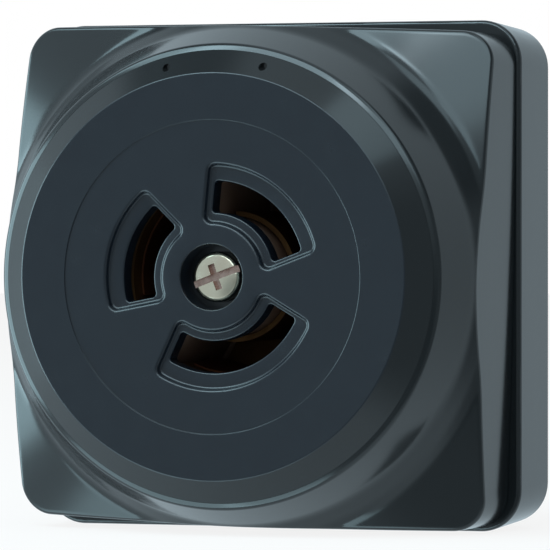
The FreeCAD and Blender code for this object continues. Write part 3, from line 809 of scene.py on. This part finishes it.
@dataclass
class SocketFace:
    """Round face with a recessed disc, three dished arc slots, a coned edge and a barrel."""

    # Front: its level and edge, the step down to the disc, and the cone down to the rim
    face_level: float = 48.8
    face_radius: float = 32.007
    step_radius: float = 24.707
    step_height: float = 0.2
    cone_drop: float = 3.3
    rim_radius: float = 35.69
    # Barrel behind the ledge, plate and hub with the recess and hole for the screw
    ledge_level: float = 41.0
    barrel_radius: float = 33.107
    barrel_reach: float = 4.0
    barrel_wall: float = 2.5
    plate_depth: float = 4.5
    hub_radius: float = 7.2
    hub_length: float = 4.8
    recess_radius: float = 5.2
    recess_depth: float = 5.2
    screw_hole: float = 2.3
    # Three slots, each in the floor of a dish
    slots: tuple[ArcSlot, ...] = (ArcSlot(37.5, 64.0), ArcSlot(162.7, 85.0), ArcSlot(286.5, 55.0))
    slot: ArcWalls = ArcWalls(10.1, 15.1, 1.2, 0.6)
    dish: ArcWalls = ArcWalls(8.5, 17.7, 2.1, 1.2)
    dish_depth: float = 1.3
    # Two small blind holes in the cone, one on each side of the top
    hole_distance: float = 33.907
    hole_angle: float = 13.8
    hole_radius: float = 0.65
    hole_depth: float = 2.9
    # Roundings
    edge_round: float = 0.4
    step_round: float = 0.09
    rim_round: float = 0.02
    recess_round: float = 0.2
    lip_round: float = 0.55
    floor_round: float = 0.5
    slot_round: float = 0.3
    rear_round: float = 0.15
    # Mesh: flat_strip is how far the turned parts reach into the disc, polish_start how far
    # outside the face's edge the cone's polish starts
    around: int = 360
    hub_around: int = 160
    hole_points: int = 24
    lip_rings: int = 4
    floor_rings: int = 6
    slot_rings: int = 3
    flat_strip: float = 1.0
    polish_start: float = 0.1

    @property
    def disc_level(self) -> float:
        """Level of the recessed disc."""
        return self.face_level - self.step_height

    @property
    def plate_rear(self) -> float:
        """Level of the back of the plate."""
        return self.face_level - self.plate_depth

    def build(self) -> None:
        """Build the face as one closed solid, bore its holes and polish its cone."""
        body = RingMesh()
        rear_openings, front_openings = self.cut_slots(body)
        disc_edge, plate_edge = body.turn(self.outer_line(), self.around)
        hub_root, recess_edge = body.turn(self.hub_line(), self.hub_around)
        body.fill([disc_edge, recess_edge] + front_openings)
        body.fill([plate_edge, hub_root] + rear_openings)
        piece = body.finish("face_disc", FACE_MOULDING, "face_moulding", ("socket_face",))
        for side in (-1, 1):
            self.bore_hole(piece, side * self.hole_angle)
        self.polish_cone(piece)

    def outer_line(self) -> list[Pair]:
        """Line from the disc over the cone and the barrel to the back of the plate.

        Returns:
            Radius and level of its points.
        """
        barrel_end = self.ledge_level - self.barrel_reach
        barrel_inner = self.barrel_radius - self.barrel_wall
        return rounded_line([
            (self.step_radius - self.flat_strip, self.disc_level, 0.0),
            (self.step_radius, self.disc_level, self.step_round),
            (self.step_radius, self.face_level, self.step_round),
            (self.face_radius, self.face_level, self.edge_round),
            (self.rim_radius, self.face_level - self.cone_drop, self.rim_round),
            (self.rim_radius, self.ledge_level, self.rear_round),
            (self.barrel_radius, self.ledge_level, 0.0),
            (self.barrel_radius, barrel_end, self.rear_round),
            (barrel_inner, barrel_end, self.rear_round),
            (barrel_inner, self.plate_rear, 0.0),
        ], turn_step=10.0)

    def hub_line(self) -> list[Pair]:
        """Line from the back of the plate around the hub and through its hole to the disc.

        Returns:
            Radius and level of its points.
        """
        seat = self.face_level - self.recess_depth
        hub_end = self.plate_rear - self.hub_length
        return rounded_line([
            (self.hub_radius, self.plate_rear, 0.0),
            (self.hub_radius, hub_end, self.rear_round),
            (self.screw_hole, hub_end, 0.0),
            (self.screw_hole, seat, 0.0),
            (self.recess_radius, seat, 0.0),
            (self.recess_radius, self.disc_level, self.recess_round),
            (self.recess_radius + self.flat_strip, self.disc_level, 0.0),
        ], turn_step=15.0)

    def cut_slots(self, body: RingMesh) -> tuple[list[Verts], list[Verts]]:
        """Add the walls and floors of the dishes and slots.

        Args:
            body: Mesh that gets them.

        Returns:
            Rings of the openings at the back and at the front.
        """
        floor = self.face_level - self.dish_depth
        backs, fronts = [], []
        for outline in self.slots:
            rings = [outline.ring(self.dish.grown(out), self.disc_level - down)
                     for down, out in quarter_round(self.lip_round, self.lip_rings)]
            rings += [outline.ring(self.dish.grown(-inward), floor + up)
                      for inward, up in quarter_round(self.floor_round, self.floor_rings)]
            rings += [outline.ring(self.slot.grown(out), floor - down)
                      for down, out in quarter_round(self.slot_round, self.slot_rings)]
            rings.append(outline.ring(self.slot, self.plate_rear))
            first, last = body.loft(rings)
            fronts.append(first)
            backs.append(last)
        return backs, fronts

    def bore_hole(self, piece: Piece, angle: float) -> None:
        """Sink a small blind hole in the cone.

        Args:
            piece: The face.
            angle: Place of the hole, clockwise from the top.
        """
        across, up = clockwise((0.0, self.hole_distance), angle)
        outline = [(across + x, up + y) for x, y in round_outline(self.hole_radius, self.hole_points)]
        carve(piece, outline, self.face_level - self.hole_depth, self.face_level)

    def polish_cone(self, piece: Piece) -> None:
        """Give the cone around the disc the cover's polish.

        Args:
            piece: The face.
        """
        piece.data.materials.append(COVER_MOULDING.material())
        inner = (self.face_radius + self.polish_start) * MM
        for polygon in piece.data.polygons:
            x, y, z = polygon.center
            if math.hypot(x, z) > inner and -y > self.ledge_level * MM:
                polygon.material_index = 1


@dataclass
class PanScrew:
    """Pan head screw with a slot and a cross in its head, on its washer."""

    # Head: its radius, top and underside, the height and radius of its crown
    head_radius: float = 4.0
    head_level: float = 46.9
    seat_level: float = 44.4
    crown: float = 0.3
    crown_radius: float = 3.25
    flank_round: float = 0.9
    seat_round: float = 0.15
    # Shank: thread from thread_start below the head, plain_length without it, and a tapered tip
    shank_radius: float = 1.9
    shank_length: float = 16.0
    thread_pitch: float = 0.7
    thread_depth: float = 0.35
    thread_start: float = 0.8
    plain_length: float = 1.0
    tip_length: float = 0.3
    tip_inset: float = 0.6
    # Drive: a slot longer than the head is wide, a short cross, and their bevelled rims
    slot_width: float = 1.1
    slot_depth: float = 1.0
    slot_overrun: float = 1.2
    slot_angle: float = -20.0
    cross_reach: float = 4.2
    drive_bevel: float = 0.07
    bevel_angle: float = 50.0
    bevel_segments: int = 2
    # Washer, with its mesh closed at seam_rise above its rear
    washer_hole: float = 2.05
    washer_radius: float = 3.8
    washer_level: float = 43.6
    hole_round: float = 0.05
    washer_round: float = 0.15
    seam_rise: float = 0.3
    # Mesh
    around: int = 128
    crown_rings: int = 12
    sharp: float = 40.0

    def build(self) -> None:
        """Build the screw with the slot and the cross cut in its head."""
        body = RingMesh()
        body.cap(*body.turn(self.head_line() + self.thread_line(), self.around))
        piece = body.finish("screw_head", PLATED_STEEL, "plated_steel", ("centre_screw",), self.sharp)
        self.cut_groove(piece, 2 * self.head_radius * self.slot_overrun, self.slot_angle)
        self.cut_groove(piece, self.cross_reach, self.slot_angle + 90)
        # Painted shade: the slot's and the cross's floors and walls take a darker steel
        self.paint_drive_shade(piece)
        rim = piece.modifiers.new("drive_rim", "BEVEL")
        rim.width, rim.segments = self.drive_bevel * MM, self.bevel_segments
        rim.limit_method, rim.angle_limit = "ANGLE", math.radians(self.bevel_angle)
        piece.modifiers.move(len(piece.modifiers) - 1, 0)

    def head_line(self) -> list[Pair]:
        """Line from the middle of the crown around the head to the shank.

        Returns:
            Radius and level of its points.
        """
        bow = (self.crown_radius ** 2 + self.crown ** 2) / (2 * self.crown)
        line = []
        for ring in range(1, self.crown_rings + 1):
            radius = self.crown_radius * ring / self.crown_rings
            fall = bow - math.sqrt(bow ** 2 - radius ** 2)
            line.append((radius, self.head_level - fall))
        tilt = self.crown_radius / math.sqrt(bow ** 2 - self.crown_radius ** 2)
        edge = self.head_level - self.crown - (self.head_radius - self.crown_radius) * tilt
        return line + rounded_line([
            (*line[-1], 0.0),
            (self.head_radius, edge, self.flank_round),
            (self.head_radius, self.seat_level, self.seat_round),
            (self.shank_radius, self.seat_level, 0.0),
        ], turn_step=7.5)[1:]

    def thread_line(self) -> list[Pair]:
        """Line down the thread to the tip.

        Returns:
            Radius and level of its points.
        """
        root = self.shank_radius - self.thread_depth
        line = []
        for turn in range(int((self.shank_length - self.plain_length) / self.thread_pitch)):
            top = self.seat_level - self.thread_start - turn * self.thread_pitch
            line += [(root, top), (self.shank_radius, top - self.thread_pitch / 2)]
        tip = self.seat_level - self.shank_length
        return line + [(root, tip + self.tip_length), (self.shank_radius - self.tip_inset, tip)]

    def cut_groove(self, piece: Piece, length: float, angle: float) -> None:
        """Cut a straight groove across the head.

        Args:
            piece: The screw.
            length: Length of the groove.
            angle: Its turn, clockwise from level.
        """
        x, y = length / 2, self.slot_width / 2
        outline = [clockwise(spot, angle) for spot in ((-x, -y), (x, -y), (x, y), (-x, y))]
        carve(piece, outline, self.head_level - self.slot_depth, self.head_level)

    def paint_drive_shade(self, piece: Piece) -> None:
        """Give the floors and walls of the slot and the cross a darker, rougher steel: painted shade
        in the drive.

        Args:
            piece: The screw.
        """
        piece.data.materials.append(DRIVE_SHADE_STEEL.material())
        floor = (self.head_level - self.slot_depth) * MM
        floor_slack, wall_slack, flattest_wall = 0.02 * MM, 0.1 * MM, 0.3
        for polygon in piece.data.polygons:
            x, y, z = polygon.center
            in_drive = math.hypot(x, z) < self.crown_radius * MM and -y > floor - wall_slack
            on_floor = abs(-y - floor) < floor_slack
            if in_drive and (on_floor or abs(polygon.normal.y) < flattest_wall):
                polygon.material_index = 1

    def build_washer(self) -> None:
        """Build the washer under the head."""
        seam = (self.washer_hole, self.washer_level + self.seam_rise, 0.0)
        line = rounded_line([
            seam,
            (self.washer_hole, self.seat_level, self.hole_round),
            (self.washer_radius, self.seat_level, self.washer_round),
            (self.washer_radius, self.washer_level, self.washer_round),
            (self.washer_hole, self.washer_level, self.hole_round),
            seam,
        ], turn_step=15.0)[:-1]
        body = RingMesh()
        body.turn(line, self.around, closed=True)
        body.finish("screw_washer", PLATED_STEEL, "plated_steel", ("centre_washer",))


@dataclass
class InnerParts:
    """Metal parts and mouldings that keep their CAD meshes."""

    # Angle above which their edges shade as sharp, in degrees
    sharp: float = 30.0
    # Finish of the nodes whose names start so; all the others are brass
    finishes: ClassVar[dict[str, Finish]] = {
        "base_body": COVER_MOULDING,
        "contact_block": BLOCK_MOULDING,
        "contact_spring": SPRING_BRONZE,
        "block_screw": PLATED_STEEL,
    }

    def dress(self) -> None:
        """Give each CAD node that still shows its finish and smooth shading."""
        for name, node in sorted(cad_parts.items()):
            if node.hide_render:
                continue
            family = next((start for start in self.finishes if name.startswith(start)), "")
            finish = self.finishes.get(family, CONTACT_BRASS)
            node.data.materials.clear()
            node.data.materials.append(finish.material())
            smooth(node, self.sharp)
            log.info("%s: %s", name, finish.name)


# Studio


def direction(azimuth: float, elevation: float) -> Vector:
    """Unit direction from the object, by degrees right of the front and above the horizon."""
    turn, rise = math.radians(azimuth), math.radians(elevation)
    return Vector((math.sin(turn) * math.cos(rise), -math.cos(turn) * math.cos(rise), math.sin(rise)))


@dataclass(frozen=True)
class Softbox:
    """Diffused lamp that looks at the object from a direction.

    Args:
        name: Name of the lamp.
        azimuth: Degrees to the right of the front.
        elevation: Degrees above the horizon.
        width: Width in metres.
        height: Height in metres.
        radiance: Brightness of its face, where 1 is white.
        colour: sRGB colour.
        distance: Distance from the object in metres.
    """

    name: str
    azimuth: float
    elevation: float
    width: float
    height: float
    radiance: float
    colour: str
    distance: float = 1.2

    def build(self) -> None:
        """Add the lamp."""
        lamp = bpy.data.lights.new(self.name, "AREA")
        lamp.shape, lamp.size, lamp.size_y = "RECTANGLE", self.width, self.height
        lamp.energy = self.radiance * math.pi * self.width * self.height
        lamp.color = linear(self.colour)[:3]
        holder = add_object(self.name, lamp)
        towards = direction(self.azimuth, self.elevation)
        holder.location = towards * self.distance
        holder.rotation_euler = towards.to_track_quat("Z", "Y").to_euler()
        holder.visible_camera = False


@dataclass(frozen=True)
class RoomPatch:
    """Darker part of the room, as the gloss of the mouldings mirrors it.

    Args:
        name: What it stands for.
        azimuth: Degrees to the right of the front.
        elevation: Degrees above the horizon.
        edge: Degrees from its middle to where it begins.
        core: Degrees from its middle to where it is full.
        factor: Brightness of its core against the room's.
    """

    name: str
    azimuth: float
    elevation: float
    edge: float
    core: float
    factor: float

    def build(self, tree: Tree, towards: Socket, level: bpy.types.Node) -> bpy.types.Node:
        """Multiply the room's brightness by this patch.

        Args:
            tree: Node tree of the world.
            towards: Direction that is looked at.
            level: Node that gives the brightness so far.

        Returns:
            Node that gives the new brightness.
        """
        middle = direction(self.azimuth, self.elevation)
        facing = add_node(tree, "VectorMath", {1: middle}, {0: towards}, operation="DOT_PRODUCT")
        limits = {"From Min": math.cos(math.radians(self.edge)), "To Min": 1.0,
                  "From Max": math.cos(math.radians(self.core)), "To Max": self.factor}
        shade = add_node(tree, "MapRange", limits, {"Value": facing.outputs["Value"]},
                         interpolation_type="SMOOTHSTEP")
        return add_node(tree, "Math", links={0: level.outputs[0], 1: shade.outputs["Result"]},
                        operation="MULTIPLY", label=self.name)


@dataclass
class Studio:
    """Pale floor, soft lamps, the room that the gloss mirrors, and the camera."""

    # Floor: size in metres, mesh, and how much of what the camera sees of it is plain white
    floor_radius: float = 3.0
    floor_points: int = 96
    floor_white: float = 0.86
    # Light from all sides on matt surfaces, and the room's brightness in gloss and metal
    ambient: float = 0.35
    room_light: float = 1.0
    room_patches: tuple[RoomPatch, ...] = (
        RoomPatch("camera_side", 62, -4, 50, 24, 0.42),
        RoomPatch("camera_low", 14, -20, 34, 14, 0.42),
        RoomPatch("front", -20, 0, 40, 16, 0.65),
        RoomPatch("rear_right", 155, 0, 44, 20, 0.66),
        RoomPatch("right_dark", 94, 42, 28, 14, 0.3),
        RoomPatch("flag", -96, 62, 22, 10, 0.4),
    )
    lamps: tuple[Softbox, ...] = (
        Softbox("left_panel", -73, 0, 1.12, 0.94, 4.9, "#c6edf8"),
        Softbox("left_high", -50, 48, 0.75, 0.42, 4.2, "#c6edf8"),
        Softbox("front_high_left", -33, 34, 0.18, 0.4, 4.0, "#c6edf8"),
        Softbox("top_panel", -11, 53, 0.74, 0.6, 4.4, "#cdeefa"),
        Softbox("top_right", 27, 33, 0.56, 0.4, 2.4, "#cdeefa"),
        Softbox("streak", 12, 40, 0.14, 0.2, 5.5, "#dcf3fd"),
        Softbox("right_high", 50, 52, 0.42, 0.5, 1.4, "#cdeefa"),
        Softbox("low_left", -48, -45, 0.72, 0.66, 2.5, "#c6edf8"),
        Softbox("low_front", -10, -54, 0.5, 0.4, 2.4, "#c6edf8"),
    )
    # Camera: degrees right of the front and above level, metres from the aim, aim's level in mm
    azimuth: float = 20.0
    elevation: float = 0.53
    distance: float = 0.841
    aim_level: float = 25.0
    # Its focal length, picture width and place of the aim in the picture, all in pixels
    focal_pixels: float = 5222.7
    image_width: float = 550.0
    centre_x: float = 262.4
    centre_y: float = 275.7
    # Sensor width in millimetres, and the nearest and farthest that it sees in metres
    sensor: float = 36.0
    clip_start: float = 0.05
    clip_end: float = 20.0

    def build(self) -> None:
        """Build the studio and set the view."""
        self.build_floor()
        self.build_world()
        for lamp in self.lamps:
            lamp.build()
        self.build_camera()
        bpy.context.scene.view_settings.view_transform = "Standard"

    def build_floor(self) -> None:
        """Lay a round floor at the level of the part's underside."""
        ground = bmesh.new()
        bmesh.ops.create_circle(
            ground, cap_ends=True, segments=self.floor_points, radius=self.floor_radius
        )
        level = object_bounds()[0].z
        for vert in ground.verts:
            vert.co.z = level
        data = bpy.data.meshes.new("floor")
        ground.to_mesh(data)
        ground.free()
        data.materials.append(self.paper())
        floor = add_object("floor", data)
        floor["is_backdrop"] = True

    def paper(self) -> bpy.types.Material:
        """White paper that keeps a faint shadow.

        Gloss and metal look through it at the room, and the low lamps shine through it.

        Returns:
            The material.
        """
        paper = bpy.data.materials.new("paper_white")
        paper.use_nodes = True
        tree = paper.node_tree
        shader = tree.nodes["Principled BSDF"]
        shader.inputs["Base Color"].default_value = linear("#f4f4f2")
        shader.inputs["Roughness"].default_value = 0.9
        glow = add_node(tree, "Emission", {"Color": linear("#ffffff"), "Strength": 1.0})
        clear = add_node(tree, "BsdfTransparent")
        path = add_node(tree, "LightPath")
        seen = add_node(tree, "Math", {1: self.floor_white}, {0: path.outputs["Is Camera Ray"]},
                        operation="MULTIPLY")
        mirrored = add_node(tree, "Math", operation="MAXIMUM", links={
            0: path.outputs["Is Glossy Ray"], 1: path.outputs["Is Transmission Ray"]})
        passed = add_node(tree, "Math", operation="MAXIMUM", links={
            0: mirrored.outputs[0], 1: path.outputs["Is Shadow Ray"]})
        lit = add_node(tree, "MixShader", links={
            0: passed.outputs[0], 1: shader.outputs[0], 2: clear.outputs[0]})
        mix = add_node(tree, "MixShader", links={
            0: seen.outputs[0], 1: lit.outputs[0], 2: glow.outputs[0]})
        tree.links.new(mix.outputs[0], tree.nodes["Material Output"].inputs["Surface"])
        return paper

    def build_world(self) -> None:
        """White for the camera, a patched room for gloss and metal, an even light for the rest."""
        world = bpy.data.worlds.new("studio")
        bpy.context.scene.world = world
        world.use_nodes = True
        tree = world.node_tree
        tree.nodes.clear()
        path = add_node(tree, "LightPath")
        white = add_node(tree, "Background", {"Color": linear("#ffffff"), "Strength": 1.0})
        even = add_node(tree, "Background", {"Color": linear("#eef6fa"), "Strength": self.ambient})
        towards = add_node(tree, "TexCoord").outputs["Generated"]
        level = add_node(tree, "Math", {0: 1.0, 1: self.room_light}, operation="MULTIPLY")
        for patch in self.room_patches:
            level = patch.build(tree, towards, level)
        room = add_node(tree, "Background", {"Color": linear("#d3e7f1")},
                        {"Strength": level.outputs[0]})
        mirrored = add_node(tree, "Math", operation="MAXIMUM", links={
            0: path.outputs["Is Glossy Ray"], 1: path.outputs["Is Transmission Ray"]})
        lit = add_node(tree, "MixShader", links={
            0: mirrored.outputs[0], 1: even.outputs[0], 2: room.outputs[0]})
        mix = add_node(tree, "MixShader", links={
            0: path.outputs["Is Camera Ray"], 1: lit.outputs[0], 2: white.outputs[0]})
        add_node(tree, "OutputWorld", links={"Surface": mix.outputs[0]})

    def build_camera(self) -> None:
        """Set the camera at the photograph's angle, with its perspective and framing."""
        lens = bpy.data.cameras.new("camera")
        lens.sensor_width = self.sensor
        lens.lens = self.focal_pixels * self.sensor / self.image_width
        lens.shift_x = 0.5 - self.centre_x / self.image_width
        lens.shift_y = self.centre_y / self.image_width - 0.5
        lens.clip_start, lens.clip_end = self.clip_start, self.clip_end
        camera = add_object("camera", lens)
        towards = direction(self.azimuth, self.elevation)
        camera.location = Vector((0.0, -self.aim_level * MM, 0.0)) + towards * self.distance
        camera.rotation_euler = towards.to_track_quat("Z", "Y").to_euler()
        bpy.context.scene.camera = camera


def main() -> None:
    """Build the pieces in order, dress the CAD nodes and set the studio."""
    logging.basicConfig(level=logging.INFO, format="%(message)s")
    BellCover().build()
    SocketFace().build()
    screw = PanScrew()
    screw.build()
    screw.build_washer()
    InnerParts().dress()
    Studio().build()


if __name__ == "__main__":
    main()
